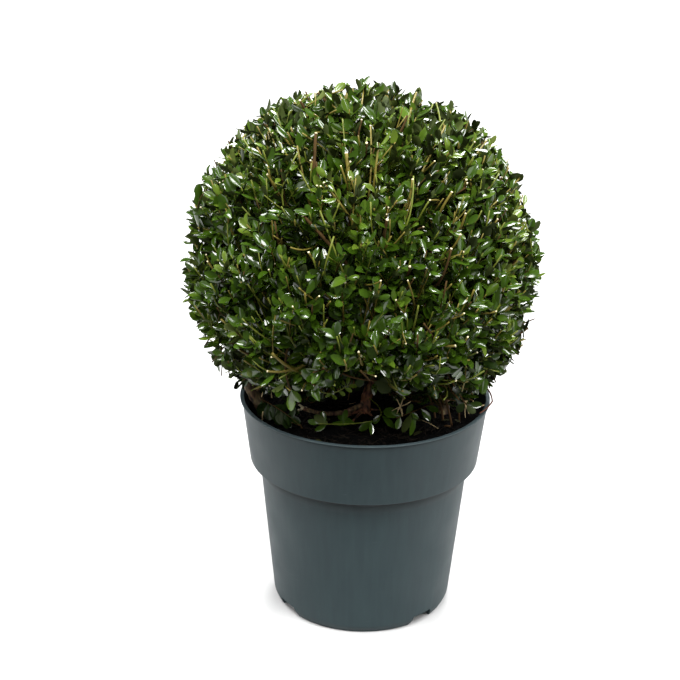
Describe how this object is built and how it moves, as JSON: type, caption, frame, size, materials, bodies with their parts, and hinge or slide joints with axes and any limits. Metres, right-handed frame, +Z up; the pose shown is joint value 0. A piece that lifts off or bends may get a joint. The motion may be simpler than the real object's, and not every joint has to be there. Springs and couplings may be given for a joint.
{
  "type": "potted japanese holly",
  "caption": "Evergreen shrub with small glossy leaves, clipped to a ball, rooted in compost in a round tapered plastic nursery pot with a deep band under its rim.",
  "frame": {"origin": "on the pot's axis, at the flat underside that the pot stands on", "axes": "+Z up along the pot's axis; -Y towards the front of the plant, where the trailing sprig and the pruned bough show"},
  "size_m": [0.3931, 0.3937, 0.597],
  "materials": {
    "pot_plastic": "satin",
    "compost": "matte",
    "bark": "matte",
    "foliage": "satin"
  },
  "bodies": {
    "root": {"pot": "pot_plastic", "soil": "compost", "stem_centre": "bark", "stem_left": "bark", "stem_right": "bark", "stem_back_left": "bark", "stem_back_right": "bark", "pruned_bough": "bark", "crown": "foliage", "spray_front": "foliage", "spray_front_right": "foliage", "spray_left": "foliage"}
  },
  "joints": []
}
